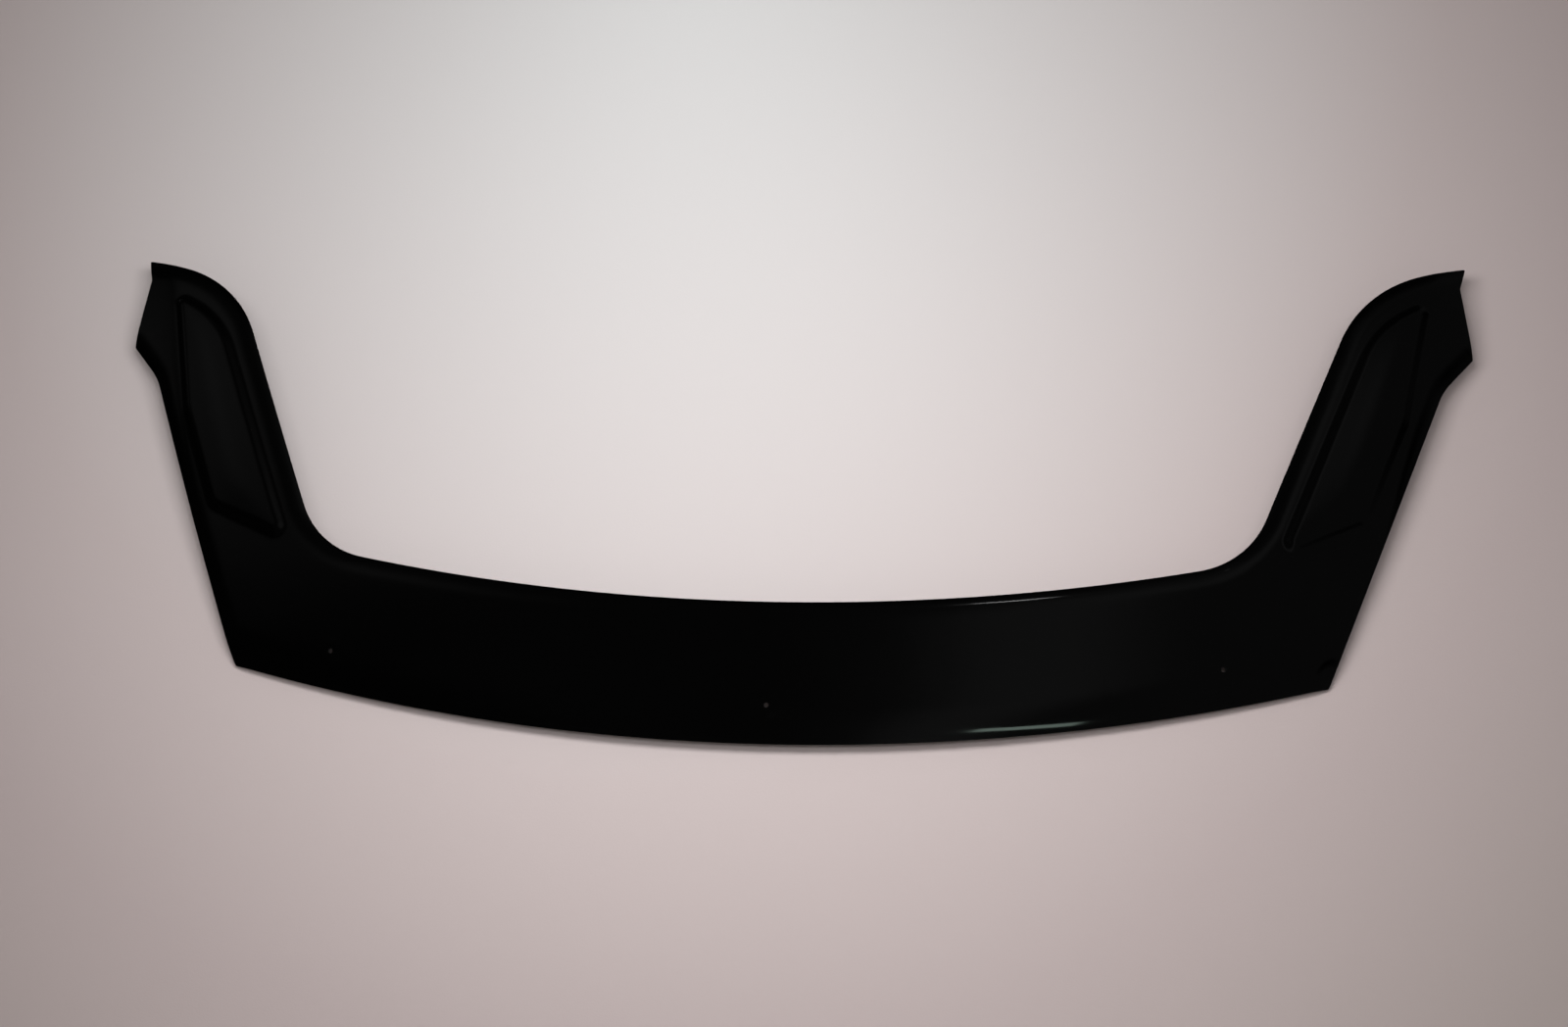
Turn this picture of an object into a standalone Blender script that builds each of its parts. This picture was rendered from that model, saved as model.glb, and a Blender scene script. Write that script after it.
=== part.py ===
"""A hood bug deflector: one sheet of dark acrylic, formed hot into a shallow shield.

X runs across the vehicle and Z up the sheet, as it hangs, and the side that meets the wind looks to -Y.
The origin is the middle of the centre fixing hole, on the back face of the sheet.
The sheet is symmetric, so its right half is drawn in the XZ plane, formed in Y and mirrored.
"""
import math

import bmesh
import bpy
import numpy as np
from mathutils import Vector
from mathutils.geometry import delaunay_2d_cdt

# The sheet and its fixing holes
SHEET_THICKNESS = 0.0030
HOLE_DIAMETER = 0.0048
HOLE_ABOVE_EDGE = 0.0355     # all three holes, from the lower edge
HOLE_INSET = 0.1045          # the outer holes, across from the lower corners
SEAT_DIAMETER = 0.018        # flat seat of a fixing's washer, round each hole
SEAT_BLEND = 0.0045          # where the seat runs out into the curved sheet

# The band across the nose of the hood
BAND_HEIGHT = 0.1405         # at the middle
LOWER_EDGE_RADIUS = 2.045
UPPER_EDGE_RADIUS = 2.020

# The ear at the top of a wing: its corner, the notch above it and the tip
EAR_SPAN = 1.421             # between the two ears' corners, the widest place
TIP_HEIGHT = 0.504           # above the centre hole
TIP_INSET = 0.002            # in from the ear's corner
NOTCH_INSET = 0.0105
NOTCH_DROP = 0.028           # below the tip
EAR_DROP = 0.105             # the ear's corner below the tip
EAR_UNDERCUT_LEAN = 40.0     # degrees from upright, the short edge under the ear
UNDERCUT_RADIUS = 0.080
CORNER_RADIUS = 0.0030       # of the lower corner, the ear's corner and the notch
TIP_RADIUS = 0.0012

# The wing's two long edges, and the edge that runs from the tip down to the band
EAR_REACH = 0.018            # the ear's corner beyond the outer edge's line, measured level
OUTER_EDGE_LEAN = 21.6       # degrees from upright
WING_WIDTH = 0.123           # measured level at the ear's corner
INNER_EDGE_LEAN = 22.2       # degrees from upright
WING_TOP_SLOPE = 18.5        # degrees from level
WING_TOP_RADIUS = 0.144
THROAT_RADIUS = 0.094        # where wing and band join

# The shape across the vehicle and up the sheet
BOW_RADIUS = 5.5
CREST_HEIGHT = 0.400         # where the sheet stands furthest forward
CREST_RADIUS = 2.5

# Strips along the edges that are rolled back: width, first slope and curl
UPPER_ROLL_WIDTH = 0.019
UPPER_ROLL_SLOPE = 0.12
UPPER_ROLL_CURL = 0.20
LOWER_ROLL_WIDTH = 0.032
LOWER_ROLL_SLOPE = 0.08
LOWER_ROLL_CURL = 0.24
OUTER_ROLL_WIDTH = 0.017
OUTER_ROLL_SLOPE = 0.14
OUTER_ROLL_CURL = 0.12
ROLL_SOFTNESS = 0.004

# The raised panel in each wing
PANEL_TOP_MARGIN = 0.029
PANEL_INNER_MARGIN = 0.023
PANEL_OUTER_MARGIN = 0.020
PANEL_TOP_SLOPE = 29.0       # degrees from level
PANEL_FOOT_SLOPE = 24.7      # degrees from level
PANEL_FOOT_DROP = 0.042      # the heel below the start of the throat
PANEL_TOP_RADIUS = 0.010
PANEL_SHOULDER_RADIUS = 0.120
PANEL_HEEL_RADIUS = 0.012
PANEL_TOE_RADIUS = 0.022
PANEL_SIDE_RADIUS = 0.060
PANEL_WALL = 0.009           # width of the sloping wall round it
PANEL_RISE = 0.004
PANEL_CROWN = 0.0025         # how far its middle stands proud of its rim
CROWN_REACH = 0.040          # from the foot in to where the crown is level
CROWN_SOFTNESS = 0.008

# The ear, which folds back beside the panel
FOLD_LEAN = 12.1             # degrees from upright
FOLD_INSET = 0.055           # from the ear's corner to the fold line, at the corner's height
FOLD_SLOPE = 0.26
FOLD_SOFTNESS = 0.008

# Fineness of the faceted surface
EDGE_STEP = 0.013
FACE_STEP = 0.021
LINE_GAP = 0.004             # a line of facets stops this far from the edge of the sheet
FILL_GAP = 0.0095            # other points keep this far from those lines
HOLE_SIDES = 20
SLOPE_STEP = 0.0002          # over which a slope is measured
NEAR = 0.00002               # points nearer than this are one
SMOOTH_ANGLE = 35.0          # degrees, between faces that shade as one surface


def unit(v):
    """The vector's direction."""
    return v / np.linalg.norm(v)


def lean(degrees):
    """The direction of a line that leans outwards from upright."""
    return np.array([math.sin(math.radians(degrees)), math.cos(math.radians(degrees))])


def inward(direction):
    """The direction to the left of a line, as seen along it."""
    return np.array([-direction[1], direction[0]])


def meet(point, direction, other, other_direction):
    """Where two lines cross."""
    along = np.linalg.solve(np.column_stack([direction, -other_direction]), other - point)
    return point + along[0] * direction


def meet_circle(point, direction, centre, radius):
    """Where a line from a point inside a circle meets it."""
    from_centre = point - centre
    along = from_centre @ direction
    return point + direction * (math.sqrt(along ** 2 - from_centre @ from_centre + radius ** 2) - along)


def arc(centre, start, end):
    """Points on the shorter arc from start to end."""
    a, b = start - centre, end - centre
    sweep = math.atan2(a[0] * b[1] - a[1] * b[0], a @ b)
    count = max(3, math.ceil(abs(sweep) * np.linalg.norm(a) / EDGE_STEP))
    t = np.linspace(0, sweep, count + 1)
    across = a[0] * np.cos(t) - a[1] * np.sin(t)
    upward = a[0] * np.sin(t) + a[1] * np.cos(t)
    return centre + np.column_stack([across, upward])


def rounded(corners, radii):
    """The open line through the corners, each inner one turned through an arc of its radius."""
    line = [corners[0][None]]
    for before, corner, after, radius in zip(corners, corners[1:], corners[2:], radii):
        back, on = unit(before - corner), unit(after - corner)
        half = math.acos(np.clip(back @ on, -1, 1)) / 2
        centre = corner + unit(back + on) * radius / math.sin(half)
        reach = radius / math.tan(half)
        line.append(arc(centre, corner + back * reach, corner + on * reach))
    return np.vstack(line + [corners[-1][None]])


def joined(line, onward, radius):
    """Two lines that meet at a corner, made one through an arc of the radius."""
    turn = rounded([line[-2], line[-1], onward[1]], [radius])
    return np.vstack([line[:-1], turn[1:-1], onward[1:]])


def spaced(line):
    """The line with points added, so that no stretch of it is longer than the edge step."""
    parts = [line[:1]]
    for a, b in zip(line, line[1:]):
        count = max(1, math.ceil(np.linalg.norm(b - a) / EDGE_STEP))
        parts.append(a + (b - a) * (np.arange(1, count + 1) / count)[:, None])
    return np.vstack(parts)


def circle(centre, radius):
    """A ring of points round a centre."""
    t = 2 * math.pi * np.arange(HOLE_SIDES) / HOLE_SIDES
    return centre + radius * np.column_stack([np.cos(t), np.sin(t)])


def closed(ring):
    """The ring with its first point again at its end."""
    return np.vstack([ring, ring[:1]])


def moved_left(line, along, width):
    """The line moved to its left, where its points run along the given directions."""
    left = np.column_stack([-along[:, 1], along[:, 0]])
    return line + width * left / np.linalg.norm(left, axis=1)[:, None]


def beside(line, width):
    """An open line moved to its left by a width."""
    return moved_left(line, np.gradient(line, axis=0), width)


def within_ring(ring, width):
    """A ring that runs anticlockwise, moved inwards by a width."""
    return moved_left(ring, np.roll(ring, -1, axis=0) - np.roll(ring, 1, axis=0), width)


def distance(points, line):
    """Each point's shortest distance to the line."""
    a, span = line[:-1], np.diff(line, axis=0)
    reach = points[:, None] - a
    t = np.clip((reach * span).sum(axis=2) / (span * span).sum(axis=1), 0, 1)
    return np.linalg.norm(reach - t[..., None] * span, axis=2).min(axis=1)


def inside(points, ring):
    """Whether each point is inside the ring: a ray from it crosses the ring an odd number of times."""
    a, b = ring, np.roll(ring, -1, axis=0)
    x, z = points[:, :1], points[:, 1:]
    spans = (a[:, 1] > z) != (b[:, 1] > z)
    rise = np.where(a[:, 1] == b[:, 1], 1, b[:, 1] - a[:, 1])
    crossing = a[:, 0] + (z - a[:, 1]) / rise * (b[:, 0] - a[:, 0])
    return (spans & (x < crossing)).sum(axis=1) % 2 == 1


def smooth(t):
    """A ramp from 0 to 1 that starts and ends level."""
    t = np.clip(t, 0, 1)
    return t * t * (3 - 2 * t)


def soft_part_above_zero(s, softness):
    """The part of s above zero, with a soft bend at zero."""
    return (s + np.sqrt(s * s + softness * softness)) / 2


def soft_least(values, softness):
    """The least of several values at each point, eased where two are alike."""
    return -softness * np.log(sum(np.exp(-v / softness) for v in values))


# The outline of the right half, anticlockwise from the middle of the lower edge
lower_centre = np.array([0, LOWER_EDGE_RADIUS - HOLE_ABOVE_EDGE])
upper_centre = np.array([0, UPPER_EDGE_RADIUS + BAND_HEIGHT - HOLE_ABOVE_EDGE])
tip = np.array([EAR_SPAN / 2 - TIP_INSET, TIP_HEIGHT])
notch = np.array([EAR_SPAN / 2 - NOTCH_INSET, TIP_HEIGHT - NOTCH_DROP])
ear = np.array([EAR_SPAN / 2, TIP_HEIGHT - EAR_DROP])
outer_point = ear - [EAR_REACH, 0]
outer_way = lean(OUTER_EDGE_LEAN)
undercut = meet(outer_point, outer_way, ear, lean(EAR_UNDERCUT_LEAN))
lower_corner = meet_circle(outer_point, -outer_way, lower_centre, LOWER_EDGE_RADIUS)

wing_top_way = -lean(90 - WING_TOP_SLOPE)
inner_way = -lean(INNER_EDGE_LEAN)
inner_point = outer_point - [WING_WIDTH, 0]
shoulder = meet(tip, wing_top_way, inner_point, inner_way)

# The throat's arc touches the inner edge and the band's upper edge, so its centre lies
# its own radius from the one and that much inside the other's circle
beside_inner = inner_point - inward(inner_way) * THROAT_RADIUS
throat_centre = meet_circle(beside_inner, inner_way, upper_centre, UPPER_EDGE_RADIUS - THROAT_RADIUS)
throat_start = throat_centre + inward(inner_way) * THROAT_RADIUS
throat_end = upper_centre + unit(throat_centre - upper_centre) * UPPER_EDGE_RADIUS

lower_edge = arc(lower_centre, lower_centre - [0, LOWER_EDGE_RADIUS], lower_corner)
outer_edge = spaced(rounded([lower_corner, undercut, ear], [UNDERCUT_RADIUS]))
ear_edge = spaced(rounded([ear, notch, tip], [CORNER_RADIUS]))
wing_edge = rounded([tip, shoulder, throat_start], [WING_TOP_RADIUS])
throat_edge = arc(throat_centre, throat_start, throat_end)
band_edge = arc(upper_centre, throat_end, upper_centre - [0, UPPER_EDGE_RADIUS])
inner_edge = spaced(np.vstack([wing_edge[:-1], throat_edge[:-1], band_edge]))
outline = joined(lower_edge, outer_edge, CORNER_RADIUS)
outline = joined(outline, ear_edge, CORNER_RADIUS)
outline = joined(outline, inner_edge, TIP_RADIUS)

# The raised panel's foot: each side runs beside an edge of the wing, or along the fold
fold_way = lean(FOLD_LEAN)
fold_point = ear - [FOLD_INSET, 0]
panel_inner = inner_point + inward(inner_way) * PANEL_INNER_MARGIN
panel_outer = outer_point + inward(outer_way) * PANEL_OUTER_MARGIN
panel_top = meet(tip + inward(wing_top_way) * PANEL_TOP_MARGIN, wing_top_way, fold_point, fold_way)
panel_shoulder = meet(panel_top, lean(90 - PANEL_TOP_SLOPE), panel_inner, inner_way)
panel_heel = meet(panel_inner, inner_way, throat_start + inner_way * PANEL_FOOT_DROP, inward(inner_way))
panel_toe = meet(panel_heel, lean(90 - PANEL_FOOT_SLOPE), panel_outer, outer_way)
panel_side = meet(panel_outer, outer_way, fold_point, fold_way)
panel_corners = [panel_top, panel_shoulder, panel_heel, panel_toe, panel_side]
panel_radii = [
    PANEL_TOP_RADIUS, PANEL_SHOULDER_RADIUS, PANEL_HEEL_RADIUS, PANEL_TOE_RADIUS, PANEL_SIDE_RADIUS,
]
panel_start = (panel_side + panel_top) / 2
panel = spaced(rounded([panel_start, *panel_corners, panel_start], panel_radii))[:-1]

rolled_strips = [
    (inner_edge, UPPER_ROLL_WIDTH, UPPER_ROLL_SLOPE, UPPER_ROLL_CURL),
    (lower_edge, LOWER_ROLL_WIDTH, LOWER_ROLL_SLOPE, LOWER_ROLL_CURL),
    (outer_edge, OUTER_ROLL_WIDTH, OUTER_ROLL_SLOPE, OUTER_ROLL_CURL),
]

# The holes lie on one line beside the lower edge
hole_x = lower_corner[0] - HOLE_INSET
hole_circle_point = np.array([hole_x, lower_centre[1]])
hole_radius = LOWER_EDGE_RADIUS - HOLE_ABOVE_EDGE
outer_hole = meet_circle(hole_circle_point, np.array([0, -1]), lower_centre, hole_radius)
holes = [np.array([0.0, 0.0]), outer_hole]


def formed(points):
    """How far back each point of the front face lies behind the crest, without the washers' seats."""
    x, z = points.T
    back = BOW_RADIUS - np.sqrt(BOW_RADIUS ** 2 - x ** 2)
    back += (z - CREST_HEIGHT) ** 2 / (2 * CREST_RADIUS)
    for edge, width, slope, curl in rolled_strips:
        rolled = soft_part_above_zero(width - distance(points, edge), ROLL_SOFTNESS)
        back += slope * rolled + curl * rolled ** 2 / width
    beyond_fold = (points - fold_point) @ -inward(fold_way)
    back += FOLD_SLOPE * soft_part_above_zero(beyond_fold, FOLD_SOFTNESS)
    foot = np.where(inside(points, panel), distance(points, closed(panel)), 0)
    sides = zip(panel_corners, panel_corners[1:] + panel_corners[:1])
    middle = soft_least([(points - a) @ inward(unit(b - a)) for a, b in sides], CROWN_SOFTNESS)
    return back - PANEL_RISE * smooth(foot / PANEL_WALL) - PANEL_CROWN * smooth(middle / CROWN_REACH)


def slopes(points, shape):
    """The rise of a shape along X and along Z at each point."""
    along_x = shape(points + [SLOPE_STEP, 0]) - shape(points - [SLOPE_STEP, 0])
    along_z = shape(points + [0, SLOPE_STEP]) - shape(points - [0, SLOPE_STEP])
    return np.column_stack([along_x, along_z]) / (2 * SLOPE_STEP)


def front(points):
    """How far back each point of the front face lies, with a flat seat round each hole."""
    y = formed(points)
    for hole in holes:
        seat = formed(hole[None])[0] + (points - hole) @ slopes(hole[None], formed)[0]
        away = np.linalg.norm(points - hole, axis=1) - SEAT_DIAMETER / 2
        y = seat + (y - seat) * smooth(away / SEAT_BLEND)
    return y


def thickness(points):
    """The sheet's thickness measured along Y, more where it slopes."""
    slope = slopes(points, front)
    return SHEET_THICKNESS * np.sqrt(1 + (slope * slope).sum(axis=1))


def run_inside(line):
    """The line's points that lie on the sheet and clear of its edges, those at the middle put right on it."""
    x, z = line.T
    line = np.column_stack([np.where(np.abs(x) < LINE_GAP, 0, x), z])
    keep = inside(line + [NEAR, 0], outline) & (distance(line, outline) > LINE_GAP)
    return line[keep]


def surface_lines():
    """The lines that facets follow: the rolled strips, the panel's wall, the fold and the seats."""
    lines = [run_inside(beside(edge, width * share)) for edge, width, *_ in rolled_strips
             for share in (1 / 3, 2 / 3, 1)]
    lines += [closed(within_ring(panel, PANEL_WALL * share)) for share in (0, 1 / 3, 2 / 3, 1)]
    lines.append(run_inside(spaced(np.array([panel_top, panel_top + fold_way * TIP_HEIGHT]))))
    lines.append(run_inside(spaced(np.array([panel_side, panel_side - fold_way * TIP_HEIGHT]))))
    for hole in holes:
        lines.append(closed(circle(hole, SEAT_DIAMETER / 2)))
        lines.append(closed(circle(hole, SEAT_DIAMETER / 2 + SEAT_BLEND)))
    return [line for line in lines if len(line) > 1]


def filling(lines):
    """Points in even staggered rows over the rest of the surface."""
    low, high = outline.min(axis=0), outline.max(axis=0)
    z = np.arange(low[1], high[1], FACE_STEP * math.sqrt(3) / 2)
    x = np.arange(low[0], high[0], FACE_STEP)
    stagger = np.arange(len(z)) % 2 * FACE_STEP / 2
    grid = np.column_stack([np.add.outer(stagger, x).ravel(), np.repeat(z, len(x))])
    keep = inside(grid + [NEAR, 0], outline)
    for line in [outline, *lines]:
        keep &= distance(grid, line) > FILL_GAP
    return grid[keep]


def flat_triangles():
    """The right half's triangles in the plane, cut to follow the outline, the holes and the surface lines."""
    rings = [circle(hole, HOLE_DIAMETER / 2) for hole in holes]
    lines = surface_lines() + [closed(ring) for ring in rings]
    points, edges = [], []
    for line in [closed(outline), *lines]:
        first = sum(map(len, points))
        points.append(line)
        edges += [(first + i, first + i + 1) for i in range(len(line) - 1)]
    points.append(filling(lines))
    found = delaunay_2d_cdt([Vector(p) for p in np.vstack(points).tolist()], edges, [], 0, NEAR)
    corners = np.array([tuple(v) for v in found[0]])
    corners[np.abs(corners) < NEAR] = 0
    faces = np.array([tuple(f) for f in found[2]])
    middles = corners[faces].mean(axis=1)
    keep = inside(middles, outline)
    for ring in rings:
        keep &= ~inside(middles, ring)
    return corners, faces[keep]


def make_shield():
    """The sheet: the right half's front and back faces, its cut edges, and a mirror for the left half."""
    corners, faces = flat_triangles()
    centre = holes[0][None]
    front_y = front(corners) - front(centre) - thickness(centre)
    depth = thickness(corners)

    sheet = bmesh.new()
    near = [sheet.verts.new((x, y, z)) for (x, z), y in zip(corners, front_y)]
    for face in faces:
        sheet.faces.new([near[i] for i in face])
    rim = [e for e in sheet.edges if e.is_boundary]
    copy = bmesh.ops.duplicate(sheet, geom=near + sheet.edges[:] + sheet.faces[:])
    far = [copy["vert_map"][v] for v in near]
    for v, d in zip(far, depth):
        v.co.y += d
    opposite = dict(zip(near, far))
    for e in rim:
        a, b = e.verts
        if max(a.co.x, b.co.x) > 0:
            sheet.faces.new([a, b, opposite[b], opposite[a]])
    bmesh.ops.delete(sheet, geom=[v for v in sheet.verts if not v.link_faces], context="VERTS")
    bmesh.ops.recalc_face_normals(sheet, faces=sheet.faces[:])
    bmesh.ops.triangulate(sheet, faces=sheet.faces[:])

    mesh = bpy.data.meshes.new("shield")
    sheet.to_mesh(mesh)
    sheet.free()
    mesh.shade_smooth()
    mesh.set_sharp_from_angle(angle=math.radians(SMOOTH_ANGLE))
    shield = bpy.data.objects.new("shield", mesh)
    bpy.context.scene.collection.objects.link(shield)
    mirror = shield.modifiers.new("left half", "MIRROR")
    mirror.merge_threshold = NEAR
    return shield


def dark_acrylic():
    """Glossy black cast acrylic."""
    material = bpy.data.materials.new("dark cast acrylic")
    material.use_nodes = True
    shader = material.node_tree.nodes["Principled BSDF"]
    shader.inputs["Base Color"].default_value = (0.004, 0.005, 0.005, 1)
    shader.inputs["Roughness"].default_value = 0.06
    shader.inputs["IOR"].default_value = 1.49
    return material


for old in list(bpy.data.objects):
    bpy.data.objects.remove(old)
make_shield().data.materials.append(dark_acrylic())
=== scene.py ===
"""A hood bug deflector of glossy black acrylic, shown fixed on a pale wall."""
import math

import bpy
import numpy as np
from mathutils import Matrix, Vector


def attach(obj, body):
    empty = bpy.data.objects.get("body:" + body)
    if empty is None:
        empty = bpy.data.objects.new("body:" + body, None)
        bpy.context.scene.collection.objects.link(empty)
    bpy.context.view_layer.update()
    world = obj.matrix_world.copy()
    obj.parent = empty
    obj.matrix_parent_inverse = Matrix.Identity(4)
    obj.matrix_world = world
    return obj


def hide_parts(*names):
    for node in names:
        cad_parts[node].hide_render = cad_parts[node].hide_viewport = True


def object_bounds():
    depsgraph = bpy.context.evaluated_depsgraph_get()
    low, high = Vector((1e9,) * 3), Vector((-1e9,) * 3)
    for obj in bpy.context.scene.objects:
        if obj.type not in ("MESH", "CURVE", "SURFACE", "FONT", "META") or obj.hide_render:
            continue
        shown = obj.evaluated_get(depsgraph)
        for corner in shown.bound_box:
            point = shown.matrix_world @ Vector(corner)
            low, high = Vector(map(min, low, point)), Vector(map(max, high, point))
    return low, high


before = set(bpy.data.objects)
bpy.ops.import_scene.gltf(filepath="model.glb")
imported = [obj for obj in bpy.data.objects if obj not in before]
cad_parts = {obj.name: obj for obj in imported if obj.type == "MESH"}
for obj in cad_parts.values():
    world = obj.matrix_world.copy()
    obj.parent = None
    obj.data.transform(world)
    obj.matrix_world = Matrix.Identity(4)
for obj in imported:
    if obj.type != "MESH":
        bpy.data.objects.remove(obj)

cad_low, cad_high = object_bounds()

# The shield: one sheet of black acrylic, cast, cut to its outline and drilled, then heated and
# drawn over a form that gives it the rolled edges, the folded ears and a raised panel in each
# wing. Screws through its three holes hold it to the hood.
SHEET_THICKNESS = 0.0030
HOLE_RADIUS = 0.0024
HOLE_ABOVE_EDGE = 0.0355     # all three holes, from the lower edge
HOLE_INSET = 0.1045          # the outer holes, across from the lower corners
SEAT_RADIUS = 0.009          # flat seat of a fixing's washer, round each hole
SEAT_BLEND = 0.0045

BAND_HEIGHT = 0.1405
LOWER_EDGE_RADIUS = 2.045
UPPER_EDGE_RADIUS = 2.020
EAR_SPAN = 1.421
TIP_HEIGHT = 0.504
TIP_INSET = 0.002
NOTCH_INSET = 0.0105
NOTCH_DROP = 0.028
EAR_DROP = 0.105
EAR_UNDERCUT_LEAN = 40.0     # degrees from upright
UNDERCUT_RADIUS = 0.080
CORNER_RADIUS = 0.0030
TIP_RADIUS = 0.0012
EAR_REACH = 0.018
OUTER_EDGE_LEAN = 21.6       # degrees from upright
WING_WIDTH = 0.123
INNER_EDGE_LEAN = 22.2       # degrees from upright
WING_TOP_SLOPE = 18.5        # degrees from level
WING_TOP_RADIUS = 0.144
THROAT_RADIUS = 0.094

BOW_RADIUS = 5.5
CREST_HEIGHT = 0.400
CREST_RADIUS = 2.5
UPPER_ROLL = (0.019, 0.12, 0.20)      # width, first slope and curl of a strip that is rolled back
LOWER_ROLL = (0.032, 0.08, 0.24)
OUTER_ROLL = (0.017, 0.14, 0.12)
ROLL_SOFTNESS = 0.004

PANEL_TOP_MARGIN = 0.029
PANEL_INNER_MARGIN = 0.023
PANEL_OUTER_MARGIN = 0.020
PANEL_TOP_SLOPE = 29.0       # degrees from level
PANEL_FOOT_SLOPE = 24.7      # degrees from level
PANEL_FOOT_DROP = 0.042
PANEL_RADII = (0.010, 0.120, 0.012, 0.022, 0.060)   # top, shoulder, heel, toe and side
PANEL_WALL = 0.009
PANEL_RISE = 0.004
PANEL_WALL_SOFTNESS = 0.0012
PANEL_CROWN = 0.0025
CROWN_REACH = 0.040
CROWN_SOFTNESS = 0.008
FOLD_LEAN = 12.1             # degrees from upright
FOLD_INSET = 0.055
FOLD_SLOPE = 0.26
FOLD_SOFTNESS = 0.008

CHORD_GAP = 0.000004         # between a round stretch and the chords that stand for it
LEAST_TURN = 4               # chords in the shortest arc
SLOPE_STEP = 0.0002          # over which a slope is measured


def unit(v):
    """v divided by its length."""
    return v / np.linalg.norm(v)


def lean(degrees):
    """The direction of a line that leans outwards from upright: (sin, cos) of the angle."""
    return np.array([math.sin(math.radians(degrees)), math.cos(math.radians(degrees))])


def inward(direction):
    """The direction a quarter turn to the left of a line's own."""
    return np.array([-direction[1], direction[0]])


def meet(point, direction, other, other_direction):
    """Where two lines cross: the first point plus the share of its direction that solves both."""
    along = np.linalg.solve(np.column_stack([direction, -other_direction]), other - point)
    return point + along[0] * direction


def meet_circle(point, direction, centre, radius):
    """Where a line from inside a circle meets it: the positive root of the distance's square."""
    from_centre = point - centre
    along = from_centre @ direction
    return point + direction * (math.sqrt(along ** 2 - from_centre @ from_centre + radius ** 2) - along)


def arc(centre, start, end):
    """The shorter arc from start to end: start turned about the centre in equal steps."""
    a, b = start - centre, end - centre
    sweep = math.atan2(a[0] * b[1] - a[1] * b[0], a @ b)
    step = math.sqrt(8 * CHORD_GAP / np.linalg.norm(a))
    t = np.linspace(0, sweep, max(LEAST_TURN, math.ceil(abs(sweep) / step)) + 1)
    across = a[0] * np.cos(t) - a[1] * np.sin(t)
    upward = a[0] * np.sin(t) + a[1] * np.cos(t)
    return centre + np.column_stack([across, upward])


def rounded(corners, radii):
    """The open line through the corners, each inner one turned through an arc that touches both
    its sides, at radius / tan(half the angle) from the corner."""
    line = [corners[0][None]]
    for before, corner, after, radius in zip(corners, corners[1:], corners[2:], radii):
        back, on = unit(before - corner), unit(after - corner)
        half = math.acos(np.clip(back @ on, -1, 1)) / 2
        centre = corner + unit(back + on) * radius / math.sin(half)
        reach = radius / math.tan(half)
        line.append(arc(centre, corner + back * reach, corner + on * reach))
    return np.vstack(line + [corners[-1][None]])


def joined(line, onward, radius):
    """Two lines that meet at a corner, made one through an arc of the radius."""
    turn = rounded([line[-2], line[-1], onward[1]], [radius])
    return np.vstack([line[:-1], turn[1:-1], onward[1:]])


def distance(points, line):
    """Each point's shortest distance to the line: to the nearest place on each chord, then the least."""
    a, span = line[:-1], np.diff(line, axis=0)
    least = np.full(len(points), np.inf)
    for start, along in zip(a, span):
        reach = points - start
        t = np.clip(reach @ along / (along @ along), 0, 1)
        gap = reach - t[:, None] * along
        least = np.minimum(least, (gap * gap).sum(axis=1))
    return np.sqrt(least)


def inside(points, ring):
    """Whether each point is inside the ring: a ray from it crosses the ring an odd number of times."""
    a, b = ring, np.roll(ring, -1, axis=0)
    x, z = points[:, :1], points[:, 1:]
    spans = (a[:, 1] > z) != (b[:, 1] > z)
    rise = np.where(a[:, 1] == b[:, 1], 1, b[:, 1] - a[:, 1])
    crossing = a[:, 0] + (z - a[:, 1]) / rise * (b[:, 0] - a[:, 0])
    return (spans & (x < crossing)).sum(axis=1) % 2 == 1


def smooth(t):
    """A ramp from 0 to 1 that starts and ends level: 3 t^2 - 2 t^3."""
    t = np.clip(t, 0, 1)
    return t * t * (3 - 2 * t)


def soft_part_above_zero(s, softness):
    """The part of s above zero with a soft bend at zero: half of s plus the root of s^2 + softness^2."""
    return (s + np.sqrt(s * s + softness * softness)) / 2


def soft_least(values, softness):
    """The least of several values, eased where two are alike: minus the logarithm of summed exponentials."""
    return -softness * np.log(sum(np.exp(-v / softness) for v in values))


# The outline of the right half in the XZ plane, from the middle of the lower edge round to the
# middle of the upper one
lower_centre = np.array([0, LOWER_EDGE_RADIUS - HOLE_ABOVE_EDGE])
upper_centre = np.array([0, UPPER_EDGE_RADIUS + BAND_HEIGHT - HOLE_ABOVE_EDGE])
tip = np.array([EAR_SPAN / 2 - TIP_INSET, TIP_HEIGHT])
notch = np.array([EAR_SPAN / 2 - NOTCH_INSET, TIP_HEIGHT - NOTCH_DROP])
ear = np.array([EAR_SPAN / 2, TIP_HEIGHT - EAR_DROP])
outer_point = ear - [EAR_REACH, 0]
outer_way = lean(OUTER_EDGE_LEAN)
undercut = meet(outer_point, outer_way, ear, lean(EAR_UNDERCUT_LEAN))
lower_corner = meet_circle(outer_point, -outer_way, lower_centre, LOWER_EDGE_RADIUS)
wing_top_way = -lean(90 - WING_TOP_SLOPE)
inner_way = -lean(INNER_EDGE_LEAN)
inner_point = outer_point - [WING_WIDTH, 0]
shoulder = meet(tip, wing_top_way, inner_point, inner_way)
beside_inner = inner_point - inward(inner_way) * THROAT_RADIUS
throat_centre = meet_circle(beside_inner, inner_way, upper_centre, UPPER_EDGE_RADIUS - THROAT_RADIUS)
throat_start = throat_centre + inward(inner_way) * THROAT_RADIUS
throat_end = upper_centre + unit(throat_centre - upper_centre) * UPPER_EDGE_RADIUS

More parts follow.
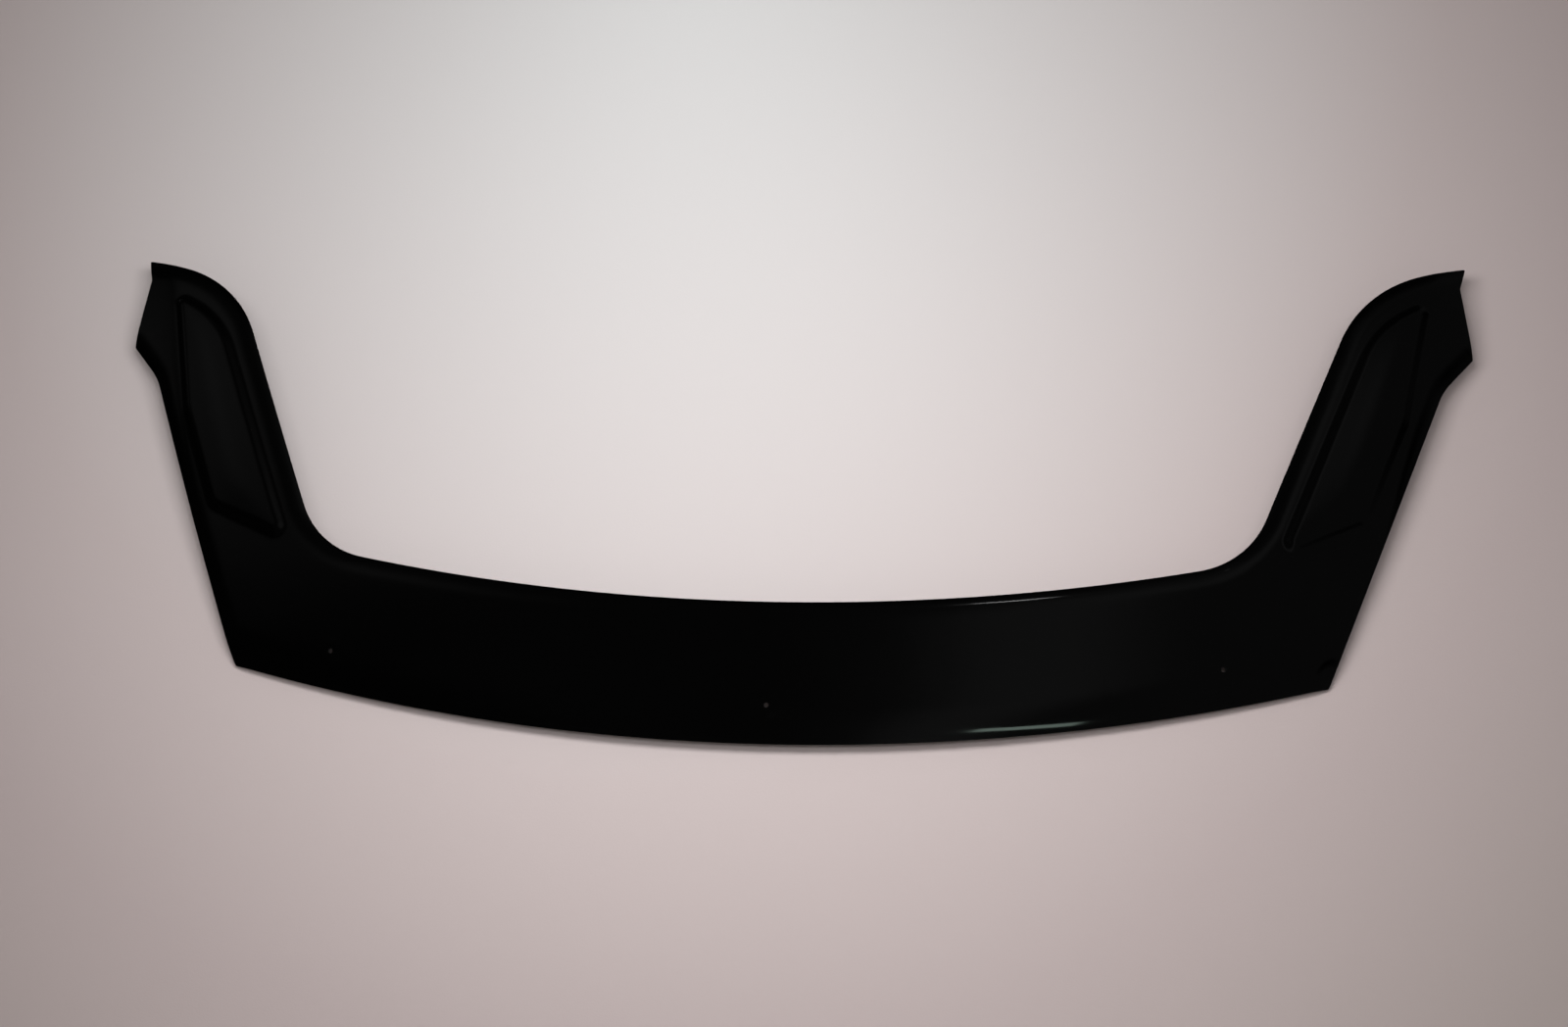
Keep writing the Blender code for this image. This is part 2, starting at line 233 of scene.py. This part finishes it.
lower_edge = arc(lower_centre, lower_centre - [0, LOWER_EDGE_RADIUS], lower_corner)
outer_edge = rounded([lower_corner, undercut, ear], [UNDERCUT_RADIUS])
ear_edge = rounded([ear, notch, tip], [CORNER_RADIUS])
wing_edge = rounded([tip, shoulder, throat_start], [WING_TOP_RADIUS])
throat_edge = arc(throat_centre, throat_start, throat_end)
band_edge = arc(upper_centre, throat_end, upper_centre - [0, UPPER_EDGE_RADIUS])
inner_edge = np.vstack([wing_edge[:-1], throat_edge[:-1], band_edge])
outline = joined(lower_edge, outer_edge, CORNER_RADIUS)
outline = joined(outline, ear_edge, CORNER_RADIUS)
outline = joined(outline, inner_edge, TIP_RADIUS)

# The foot of the raised panel's wall
fold_way = lean(FOLD_LEAN)
fold_point = ear - [FOLD_INSET, 0]
panel_inner = inner_point + inward(inner_way) * PANEL_INNER_MARGIN
panel_outer = outer_point + inward(outer_way) * PANEL_OUTER_MARGIN
panel_top = meet(tip + inward(wing_top_way) * PANEL_TOP_MARGIN, wing_top_way, fold_point, fold_way)
panel_shoulder = meet(panel_top, lean(90 - PANEL_TOP_SLOPE), panel_inner, inner_way)
panel_heel = meet(panel_inner, inner_way, throat_start + inner_way * PANEL_FOOT_DROP, inward(inner_way))
panel_toe = meet(panel_heel, lean(90 - PANEL_FOOT_SLOPE), panel_outer, outer_way)
panel_side = meet(panel_outer, outer_way, fold_point, fold_way)
panel_corners = [panel_top, panel_shoulder, panel_heel, panel_toe, panel_side]
panel_start = (panel_side + panel_top) / 2
panel = rounded([panel_start, *panel_corners, panel_start], PANEL_RADII)

hole_x = lower_corner[0] - HOLE_INSET
outer_hole = meet_circle(
    np.array([hole_x, lower_centre[1]]), np.array([0, -1]), lower_centre, LOWER_EDGE_RADIUS - HOLE_ABOVE_EDGE)
holes = [np.array([0.0, 0.0]), outer_hole]


def formed(points):
    """How far back the front face lies: the bow across and the crest up the sheet, both round, plus
    slope times depth and curl times depth squared in each rolled strip, plus the ear's fold, minus
    the panel's wall, a straight slope between two soft bends, and its crown."""
    x, z = points.T
    back = BOW_RADIUS - np.sqrt(BOW_RADIUS ** 2 - x ** 2)
    back += (z - CREST_HEIGHT) ** 2 / (2 * CREST_RADIUS)
    strips = [(inner_edge, *UPPER_ROLL), (lower_edge, *LOWER_ROLL), (outer_edge, *OUTER_ROLL)]
    for edge, width, slope, curl in strips:
        rolled = soft_part_above_zero(width - distance(points, edge), ROLL_SOFTNESS)
        back += slope * rolled + curl * rolled ** 2 / width
    beyond_fold = (points - fold_point) @ -inward(fold_way)
    back += FOLD_SLOPE * soft_part_above_zero(beyond_fold, FOLD_SOFTNESS)
    foot = distance(points, panel) * np.where(inside(points, panel), 1, -1)
    risen = soft_part_above_zero(foot, PANEL_WALL_SOFTNESS)
    risen = (risen - soft_part_above_zero(foot - PANEL_WALL, PANEL_WALL_SOFTNESS)) / PANEL_WALL
    sides = zip(panel_corners, panel_corners[1:] + panel_corners[:1])
    middle = soft_least([(points - a) @ inward(unit(b - a)) for a, b in sides], CROWN_SOFTNESS)
    return back - PANEL_RISE * risen - PANEL_CROWN * smooth(middle / CROWN_REACH)


def slopes(points, shape):
    """The rise of a shape along X and along Z: the difference across a small step, over the step."""
    along_x = shape(points + [SLOPE_STEP, 0]) - shape(points - [SLOPE_STEP, 0])
    along_z = shape(points + [0, SLOPE_STEP]) - shape(points - [0, SLOPE_STEP])
    return np.column_stack([along_x, along_z]) / (2 * SLOPE_STEP)


def front(points):
    """The formed face with a flat seat round each hole: its tangent plane there, blended in."""
    y = formed(points)
    for hole in holes:
        seat = formed(hole[None])[0] + (points - hole) @ slopes(hole[None], formed)[0]
        away = np.linalg.norm(points - hole, axis=1) - SEAT_RADIUS
        y = seat + (y - seat) * smooth(away / SEAT_BLEND)
    return y


def thickness(points):
    """The sheet's thickness measured along Y: more where it slopes, by the root of 1 + slope^2."""
    slope = slopes(points, front)
    return SHEET_THICKNESS * np.sqrt(1 + (slope * slope).sum(axis=1))


# The face's grid: u runs along the sheet from its middle to the ear, and v across it from the
# lower and outer edge to the upper and inner one
ROWS = 72
ROW_CROWDING = 0.35          # rows lie closer beside the edges
HOLE_BLOCK = 0.006           # half the length of the stretch of grid that a hole replaces
BLOCK_COLUMNS = 4            # grid columns on each side of a hole that its rings replace
BLOCK_ROWS = 2
RINGS = 4                    # rings of faces between that stretch and the hole
FINE = 4001                  # points along a line when a place is looked for on it


def nearest(line, point):
    """How far along the line its nearest corner to the point lies, as a share of its length."""
    along = np.r_[0, np.cumsum(np.linalg.norm(np.diff(line, axis=0), axis=1))]
    return along[np.argmin(np.linalg.norm(line - point, axis=1))] / along[-1]


def along_line(line, share):
    """The points at the given shares of the line's length."""
    along = np.r_[0, np.cumsum(np.linalg.norm(np.diff(line, axis=0), axis=1))]
    return np.column_stack([np.interp(share * along[-1], along, line[:, k]) for k in (0, 1)])


ear_turn = np.argmin(np.linalg.norm(outline - ear, axis=1))
tip_turn = np.argmin(np.linalg.norm(outline - tip, axis=1))
near_line = outline[:ear_turn + 1]
end_line = outline[ear_turn:tip_turn + 1]
far_line = outline[tip_turn:][::-1]


def at_x(line, x):
    """How far along the line it first passes x, as a share of its length."""
    along = np.r_[0, np.cumsum(np.linalg.norm(np.diff(line, axis=0), axis=1))]
    first = np.argmax(line[:, 0] >= x)
    share = (x - line[first - 1, 0]) / (line[first, 0] - line[first - 1, 0])
    return (along[first - 1] + share * (along[first] - along[first - 1])) / along[-1]


# Where the two long edges are matched: at the holes, the lower corner with the throat, and the
# undercut with the inner edge, with the columns between
throat_middle = throat_centre + unit(lower_corner - throat_centre) * THROAT_RADIUS
beside_throat = meet(throat_start, inward(inner_way), outer_point, outer_way)
beside_undercut = meet(undercut, inward(inner_way), inner_point, inner_way)
dense_near = along_line(near_line, np.linspace(0, 1, FINE))
dense_far = along_line(far_line, np.linspace(0, 1, FINE))
matches = [
    (0, 0, 0),
    (at_x(near_line, HOLE_BLOCK), at_x(far_line, HOLE_BLOCK), BLOCK_COLUMNS),
    (at_x(near_line, hole_x - HOLE_BLOCK), at_x(far_line, hole_x - HOLE_BLOCK), 76),
    (at_x(near_line, hole_x + HOLE_BLOCK), at_x(far_line, hole_x + HOLE_BLOCK), 2 * BLOCK_COLUMNS),
    (nearest(dense_near, lower_corner), nearest(dense_far, throat_middle), 28),
    (nearest(dense_near, beside_throat), nearest(dense_far, throat_start), 34),
    (nearest(dense_near, undercut), nearest(dense_far, beside_undercut), 80),
    (1, 1, 70),
]
near_share, far_share, last_stretch = [0.0], [0.0], [0.0]
for before, after in zip(matches, matches[1:]):
    t = np.arange(1, after[2] + 1) / after[2]
    near_share = np.r_[near_share, before[0] + (after[0] - before[0]) * t]
    far_share = np.r_[far_share, before[1] + (after[1] - before[1]) * t]
    last_stretch = np.r_[last_stretch, t if after is matches[-1] else 0 * t]

t = np.linspace(0, 1, ROWS)
v = (t - ROW_CROWDING * np.sin(2 * math.pi * t) / (2 * math.pi))[None, :, None]
near_side = along_line(near_line, near_share)[:, None]
far_side = along_line(far_line, far_share)[:, None]
straight_end = near_line[-1] + (end_line[-1] - near_line[-1]) * v[0]
bulge = along_line(end_line, v[0, :, 0]) - straight_end
half_grid = near_side * (1 - v) + far_side * v + smooth(last_stretch)[:, None, None] * bulge
grid = np.concatenate([half_grid[:0:-1] * [-1, 1], half_grid])
middle_column = len(half_grid) - 1
to_outer_hole = sum(m[2] for m in matches[:3]) + BLOCK_COLUMNS
hole_columns = [middle_column - to_outer_hole, middle_column, middle_column + to_outer_hole]
hole_middles = [outer_hole * [-1, 1], holes[0], outer_hole]

index = np.arange(grid[..., 0].size).reshape(grid.shape[:2])
keep = np.ones((grid.shape[0] - 1, ROWS - 1), bool)
flat_points = [grid.reshape(-1, 2)]
quads = []
for column, centre in zip(hole_columns, hole_middles):
    row = np.argmin(np.linalg.norm(grid[column] - centre, axis=1))
    left, right = column - BLOCK_COLUMNS, column + BLOCK_COLUMNS
    low, high = row - BLOCK_ROWS, row + BLOCK_ROWS
    keep[left:right, low:high] = False
    ring = np.concatenate([
        index[left:right, low], index[right, low:high], index[right:left:-1, high], index[left, high:low:-1]])
    block = grid.reshape(-1, 2)[ring]
    away = block - centre
    circle = centre + HOLE_RADIUS * away / np.linalg.norm(away, axis=1)[:, None]
    first = sum(map(len, flat_points))
    for k in range(1, RINGS + 1):
        flat_points.append(block + (circle - block) * k / RINGS)
        inner = first + (k - 1) * len(block) + np.arange(len(block))
        outer = ring if k == 1 else inner - len(block)
        quads.append(np.column_stack([outer, np.roll(outer, -1), np.roll(inner, -1), inner]))
quads.append(np.stack([index[:-1, :-1], index[1:, :-1], index[1:, 1:], index[:-1, 1:]], axis=-1)[keep])
flat_points = np.vstack(flat_points)
quads = np.vstack(quads)

mirrored = np.abs(flat_points[:, :1]) * [1, 0] + flat_points * [0, 1]
centre_hole = holes[0][None]
depth = front(mirrored) - front(centre_hole) - thickness(centre_hole)
sheet_points = np.column_stack([flat_points[:, 0], depth, flat_points[:, 1]])
used = np.unique(quads)
renumbered = np.zeros(len(sheet_points), int)
renumbered[used] = np.arange(len(used))

mesh = bpy.data.meshes.new("shield_sheet")
mesh.from_pydata(sheet_points[used].tolist(), [], renumbered[quads].tolist())
mesh.shade_smooth()
shield = bpy.data.objects.new("shield_sheet", mesh)
bpy.context.scene.collection.objects.link(shield)
ARRIS_WIDTH = 0.0004
SHARPEST_LEFT = 60           # degrees between faces, above which an arris is eased
walls = shield.modifiers.new("sheet thickness", "SOLIDIFY")
walls.thickness = SHEET_THICKNESS
walls.offset = -1
walls.material_offset_rim = 1
arris = shield.modifiers.new("eased arrises", "BEVEL")
arris.width = ARRIS_WIDTH
arris.segments = 2
arris.limit_method = "ANGLE"
arris.angle_limit = math.radians(SHARPEST_LEFT)
arris.harden_normals = True
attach(shield, "root")
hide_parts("shield")


def linear(code):
    """An sRGB hex colour as linear light: each channel c becomes ((c + 0.055) / 1.055) ^ 2.4."""
    channels = [int(code[k:k + 2], 16) / 255 for k in (1, 3, 5)]
    return [c / 12.92 if c <= 0.04045 else ((c + 0.055) / 1.055) ** 2.4 for c in channels] + [1.0]


def add_node(tree, kind, settings=None, inputs=None):
    """One node with its settings, and with each input set to a value or linked to another's output."""
    node = tree.nodes.new(kind)
    for name, value in (settings or {}).items():
        setattr(node, name, value)
    for name, value in (inputs or {}).items():
        if isinstance(value, bpy.types.NodeSocket):
            tree.links.new(value, node.inputs[name])
        else:
            node.inputs[name].default_value = value
    return node


def if_seen(tree, unseen, seen):
    """One value for rays that light things, and another for the camera's, glossy and transmission rays."""
    ray = add_node(tree, "ShaderNodeLightPath")
    most = ray.outputs["Is Camera Ray"]
    for kind in ("Glossy", "Transmission"):
        most = add_node(tree, "ShaderNodeMath", {"operation": "MAXIMUM"}, {
            0: most, 1: ray.outputs[f"Is {kind} Ray"]}).outputs["Value"]
    return add_node(tree, "ShaderNodeMapRange", inputs={
        "Value": most, "To Min": unseen, "To Max": seen}).outputs["Result"]


# Cast acrylic, black right through and polished as it comes from the casting cell: a deep, nearly
# colourless black with sharp reflections. Drawing it over the form leaves a faint waviness, some
# 30 mm from crest to crest, and handling leaves patches that are slightly less sharp.
acrylic = bpy.data.materials.new("polished black cast acrylic")
acrylic.use_nodes = True
tree = acrylic.node_tree
shader = tree.nodes["Principled BSDF"]
place = add_node(tree, "ShaderNodeTexCoord")
ACRYLIC_IOR = 1.49
WAVES_PER_METRE = 32.0
WAVE_HEIGHT = 0.00006
HAZE_PER_METRE = 9.0
waves = add_node(tree, "ShaderNodeTexNoise", inputs={
    "Vector": place.outputs["Object"], "Scale": WAVES_PER_METRE, "Detail": 1.0, "Roughness": 0.4})
waviness = add_node(tree, "ShaderNodeBump", inputs={
    "Height": waves.outputs["Fac"], "Strength": 1.0, "Distance": WAVE_HEIGHT})
haze = add_node(tree, "ShaderNodeTexNoise", inputs={
    "Vector": place.outputs["Object"], "Scale": HAZE_PER_METRE, "Detail": 5.0, "Roughness": 0.6})
sharpness = add_node(tree, "ShaderNodeMapRange", inputs={
    "Value": haze.outputs["Fac"], "From Min": 0.35, "From Max": 0.75, "To Min": 0.045, "To Max": 0.11})
tree.links.new(sharpness.outputs["Result"], shader.inputs["Roughness"])
tree.links.new(waviness.outputs["Normal"], shader.inputs["Normal"])
shader.inputs["Base Color"].default_value = linear("#010101")
shader.inputs["IOR"].default_value = ACRYLIC_IOR
mesh.materials.append(acrylic)

# The sheet's cut edge: routed, then scraped with a blade, so it is slightly paler and duller than
# the faces, with fine marks about a millimetre apart.
edge = bpy.data.materials.new("scraped acrylic edge")
edge.use_nodes = True
tree = edge.node_tree
shader = tree.nodes["Principled BSDF"]
place = add_node(tree, "ShaderNodeTexCoord")
MARKS_PER_METRE = 900.0
marks = add_node(tree, "ShaderNodeTexNoise", inputs={
    "Vector": place.outputs["Object"], "Scale": MARKS_PER_METRE, "Detail": 2.0})
scrape = add_node(tree, "ShaderNodeMapRange", inputs={
    "Value": marks.outputs["Fac"], "From Min": 0.3, "From Max": 0.7, "To Min": 0.22, "To Max": 0.42})
tree.links.new(scrape.outputs["Result"], shader.inputs["Roughness"])
shader.inputs["Base Color"].default_value = linear("#1b1e1f")
shader.inputs["IOR"].default_value = ACRYLIC_IOR
mesh.materials.append(edge)

# The wall behind it: painted paper, a warm pale grey with a faint pink cast. Its colour grows darker
# and pinker outwards and downwards from a pale spot high above the middle: painted light falloff,
# standing in for the lamps' light fading across the wall. The sheet leans a little on it, so that
# only its lower corners touch, and it is see-through from behind, so that the back of the sheet can
# be seen.
WALL_GAP = 0.001
WALL_LEAN = 0.05             # how far the wall falls back behind the sheet for each metre up
WALL_HALF_WIDTH = 4.0
WALL_TOP = 2.6
FLOOR_DROP = 1.9
back_face = sheet_points[used, 1] + thickness(mirrored[used])
wall_y = (back_face - WALL_LEAN * sheet_points[used, 2]).max() + WALL_GAP
floor_z = cad_low.z - FLOOR_DROP
foot_y, top_y = wall_y + WALL_LEAN * floor_z, wall_y + WALL_LEAN * WALL_TOP
mesh = bpy.data.meshes.new("wall")
mesh.from_pydata([
    (-WALL_HALF_WIDTH, foot_y, floor_z), (WALL_HALF_WIDTH, foot_y, floor_z),
    (WALL_HALF_WIDTH, top_y, WALL_TOP), (-WALL_HALF_WIDTH, top_y, WALL_TOP)], [], [(0, 1, 2, 3)])
wall = bpy.data.objects.new("wall", mesh)
bpy.context.scene.collection.objects.link(wall)
paper_and_painted_falloff = bpy.data.materials.new("wall paper with painted light falloff")
paper_and_painted_falloff.use_nodes = True
tree = paper_and_painted_falloff.node_tree
shader = tree.nodes["Principled BSDF"]
output = tree.nodes["Material Output"]
place = add_node(tree, "ShaderNodeTexCoord")
# Middle of the painted pool of light on the wall, from which its colour darkens as painted falloff
PAINTED_LIGHT_CENTRE = (-0.14, 0.0, 1.0)
PAINTED_FALLOFF_REACH = (1.35, 1.35, 1.69)      # how far from there the ramp ends
off_centre = add_node(tree, "ShaderNodeMapping", {"vector_type": "TEXTURE"}, {
    "Vector": place.outputs["Object"], "Location": PAINTED_LIGHT_CENTRE, "Scale": PAINTED_FALLOFF_REACH})
far = add_node(tree, "ShaderNodeVectorMath", {"operation": "LENGTH"}, {0: off_centre.outputs["Vector"]})
# A colour ramp over that distance: painted light falloff, with painted shade to the sides and below
fall = add_node(tree, "ShaderNodeValToRGB", inputs={"Fac": far.outputs["Value"]})
# Tones at shares of that reach: palest in the painted pool of light, darker outwards as painted shade
PAINTED_FALLOFF_TONES = [(0.07, "#f4f4f4"), (0.64, "#bdb1b0"), (0.80, "#aea1a0"), (0.99, "#a09592")]
stops = fall.color_ramp.elements
stops.new(PAINTED_FALLOFF_TONES[1][0])
stops.new(PAINTED_FALLOFF_TONES[2][0])
for stop, (position, colour) in zip(stops, PAINTED_FALLOFF_TONES):
    stop.position, stop.color = position, linear(colour)
PAPER_GRAINS_PER_METRE = 700.0
GRAIN_HEIGHT = 0.0002
grain = add_node(tree, "ShaderNodeTexNoise", inputs={
    "Vector": place.outputs["Object"], "Scale": PAPER_GRAINS_PER_METRE, "Detail": 2.0})
tree.links.new(fall.outputs["Color"], shader.inputs["Base Color"])
tooth = add_node(tree, "ShaderNodeBump", inputs={
    "Height": grain.outputs["Fac"], "Strength": 0.5, "Distance": GRAIN_HEIGHT})
tree.links.new(tooth.outputs["Normal"], shader.inputs["Normal"])
shader.inputs["Roughness"].default_value = 0.85
from_behind = add_node(tree, "ShaderNodeNewGeometry")
clear = add_node(tree, "ShaderNodeBsdfTransparent")
shown = add_node(tree, "ShaderNodeMixShader", inputs={
    "Fac": from_behind.outputs["Backfacing"], 1: shader.outputs["BSDF"], 2: clear.outputs["BSDF"]})
tree.links.new(shown.outputs["Shader"], output.inputs["Surface"])
mesh.materials.append(paper_and_painted_falloff)

# The floor: pale matt boards of one even colour, well below the sheet. They glow a little to the
# camera and in reflections, so that they look as pale as the studio round them.
FLOOR_REACH = 40.0
mesh = bpy.data.meshes.new("floor")
mesh.from_pydata([
    (-FLOOR_REACH, -FLOOR_REACH, floor_z), (FLOOR_REACH, -FLOOR_REACH, floor_z),
    (FLOOR_REACH, FLOOR_REACH, floor_z), (-FLOOR_REACH, FLOOR_REACH, floor_z)], [], [(0, 1, 2, 3)])
floor = bpy.data.objects.new("floor", mesh)
bpy.context.scene.collection.objects.link(floor)
matt = bpy.data.materials.new("pale matt floor")
matt.use_nodes = True
tree = matt.node_tree
shader = tree.nodes["Principled BSDF"]
FLOOR_COLOUR = linear("#dcd8d5")
shader.inputs["Base Color"].default_value = FLOOR_COLOUR
shader.inputs["Roughness"].default_value = 0.9
shader.inputs["Emission Color"].default_value = FLOOR_COLOUR
tree.links.new(if_seen(tree, 0.0, 0.7), shader.inputs["Emission Strength"])
mesh.materials.append(matt)

# The camera, below the sheet and a little to the right of its middle, with a 54 mm lens on a
# 36 mm frame
CAMERA_PLACE = (0.21655, -2.20261, -0.69737)
CAMERA_RIGHT = Vector((0.99605, 0.07503, 0.04745))
CAMERA_UP = Vector((-0.01541, -0.38022, 0.92477))
camera = bpy.data.objects.new("camera", bpy.data.cameras.new("camera"))
bpy.context.scene.collection.objects.link(camera)
camera.data.sensor_width = 36.0
camera.data.lens = 54.0
turn = Matrix((CAMERA_RIGHT, CAMERA_UP, CAMERA_RIGHT.cross(CAMERA_UP))).transposed()
camera.matrix_world = Matrix.Translation(CAMERA_PLACE) @ turn.to_4x4()
bpy.context.scene.camera = camera

# The light: a near soft lamp level with the band, so that the wings' shadows fall outwards, a broad
# low one, so that little shadow falls below, and two small windows of light, one high and one low
# in front, whose reflections are the streaks in the rolled edges
SHEET_MIDDLE = Vector((0.0, 0.0, 0.23))


def lamp(name, target, azimuth, elevation, away, size, power):
    """An area lamp in front of the target, azimuth degrees round to the right and elevation up."""
    a, e = math.radians(azimuth), math.radians(elevation)
    way = Vector((math.sin(a) * math.cos(e), -math.cos(a) * math.cos(e), math.sin(e)))
    data = bpy.data.lights.new(name, "AREA")
    data.shape = "RECTANGLE"
    data.size, data.size_y = size
    data.energy = power
    made = bpy.data.objects.new(name, data)
    bpy.context.scene.collection.objects.link(made)
    facing = way.to_track_quat("Z", "Y").to_matrix().to_4x4()
    made.matrix_world = Matrix.Translation(target + way * away) @ facing
    return made


near_lamp = lamp("near lamp", Vector((0.04, 0.0, 0.1)), 0, 0, 1.15, (0.75, 0.3), 12.0)
low_wash = lamp("low wash", SHEET_MIDDLE, 3, -14, 4.2, (2.4, 0.5), 45.0)
near_lamp.visible_glossy = low_wash.visible_glossy = False
near_lamp.visible_camera = low_wash.visible_camera = False
# A grid on the high window keeps its light off the wings, and the low one is a little green
high_window = lamp("high window", Vector((0.241, -0.011, 0.111)), 1.4, 45, 3.0, (0.17, 0.022), 0.0003)
high_window.data.spread = math.radians(6)
low_window = lamp("low window", Vector((0.25, 0.012, -0.011)), 15.5, -45.3, 1.6, (0.29, 0.09), 0.23)
low_window.data.color = linear("#e4fff0")[:3]

# The dark tent in front, as photographers hang round gloss black: a half dome of black cloth on
# hoops. It shows only in reflections, so that the sheet reads black, and glows faintly where it
# lets the room's light through, more on the right and along a tall gap right of the middle.
TENT_RADIUS = 3.4
TENT_DROP = 1.3
TENT_FACES = 48
half_turn = np.linspace(-math.pi / 2, math.pi / 2, TENT_FACES + 1)
azimuth, elevation = np.meshgrid(half_turn, half_turn)
# Each point lies at its azimuth and elevation, x = r sin a cos e, y = -r cos a cos e and z = r sin e,
# with a shorter radius below than above
tent_points = np.stack([
    TENT_RADIUS * np.sin(azimuth) * np.cos(elevation),
    -TENT_RADIUS * np.cos(azimuth) * np.cos(elevation),
    np.where(elevation > 0, TENT_RADIUS, TENT_DROP) * np.sin(elevation)], axis=-1)
index = np.arange(azimuth.size).reshape(azimuth.shape)
quads = np.stack([index[:-1, :-1], index[1:, :-1], index[1:, 1:], index[:-1, 1:]], axis=-1)
mesh = bpy.data.meshes.new("dark tent")
mesh.from_pydata(tent_points.reshape(-1, 3).tolist(), [], quads.reshape(-1, 4).tolist())
mesh.shade_smooth()
tent = bpy.data.objects.new("dark tent", mesh)
bpy.context.scene.collection.objects.link(tent)
for ray in ("camera", "diffuse", "transmission", "volume_scatter", "shadow"):
    setattr(tent, "visible_" + ray, False)
cloth = bpy.data.materials.new("black tent cloth")
cloth.use_nodes = True
tree = cloth.node_tree
tree.nodes.remove(tree.nodes["Principled BSDF"])
place = add_node(tree, "ShaderNodeTexCoord")
direction = add_node(tree, "ShaderNodeVectorMath", {"operation": "NORMALIZE"}, {0: place.outputs["Object"]})
parts = add_node(tree, "ShaderNodeSeparateXYZ", inputs={"Vector": direction.outputs["Vector"]})

sideways, upward = parts.outputs["X"], parts.outputs["Z"]
GAP_MIDDLE = 0.19
from_gap = add_node(tree, "ShaderNodeMath", {"operation": "SUBTRACT"}, {0: sideways, 1: GAP_MIDDLE})
beside_gap, to_the_side = [
    add_node(tree, "ShaderNodeMath", {"operation": "ABSOLUTE"}, {0: value}).outputs["Value"]
    for value in (from_gap.outputs["Value"], sideways)]
# The glow, step by step: each line adds or multiplies by a level that goes from the third number to
# the fourth in a soft ramp, while what it names, or the distance from a direction, goes from the
# first to the second
GLOWS = [
    ("ADD", beside_gap, 0.02, 0.17, 0.06, 0.0),
    ("MULTIPLY", upward, 0.5, 0.8, 1.0, 0.0),
    ("ADD", sideways, -0.65, -0.3, 0.005, 0.02),
    ("ADD", sideways, -0.12, 0.12, 0.0, 0.027),
    ("ADD", (-0.6, -0.67, 0.43), 0.0, 0.45, 0.1, 0.0),
    ("ADD", (0.4, -0.8, 0.45), 0.0, 0.22, 0.045, 0.0),
    ("ADD", (-0.87, -0.31, 0.38), 0.0, 0.2, 0.055, 0.0),
    ("MULTIPLY", to_the_side, 0.94, 0.99, 1.0, 0.0),
    ("MULTIPLY", upward, 0.74, 0.92, 1.0, 0.15),
    ("MULTIPLY", (0.88, -0.17, 0.45), 0.0, 0.27, 0.0, 1.0),
    ("MULTIPLY", (0.9, -0.31, 0.2), 0.0, 0.17, 0.0, 1.0),
    ("MULTIPLY", (0.77, -0.56, -0.3), 0.0, 0.15, 0.0, 1.0),
]
level = 0.0
for operation, measure, start, end, low, high in GLOWS:
    if isinstance(measure, tuple):
        away = add_node(tree, "ShaderNodeVectorMath", {"operation": "DISTANCE"}, {
            0: direction.outputs["Vector"], 1: measure})
        measure = away.outputs["Value"]
    ramp = add_node(tree, "ShaderNodeMapRange", {"interpolation_type": "SMOOTHSTEP"}, {
        "Value": measure, "From Min": start, "From Max": end, "To Min": low, "To Max": high})
    combined = add_node(tree, "ShaderNodeMath", {"operation": operation}, {
        0: level, 1: ramp.outputs["Result"]})
    level = combined.outputs["Value"]
glow = add_node(tree, "ShaderNodeEmission", inputs={"Strength": level})
tree.links.new(glow.outputs["Emission"], tree.nodes["Material Output"].inputs["Surface"])
mesh.materials.append(cloth)

# The studio round it: white to the camera and in reflections, and dim as a light, so that the lamps
# model the sheet
world = bpy.data.worlds.new("pale studio")
bpy.context.scene.world = world
world.use_nodes = True
tree = world.node_tree
background = tree.nodes["Background"]
background.inputs["Color"].default_value = linear("#f4f2f0")
tree.links.new(if_seen(tree, 0.25, 0.85), background.inputs["Strength"])

bpy.context.scene.view_settings.view_transform = "Standard"
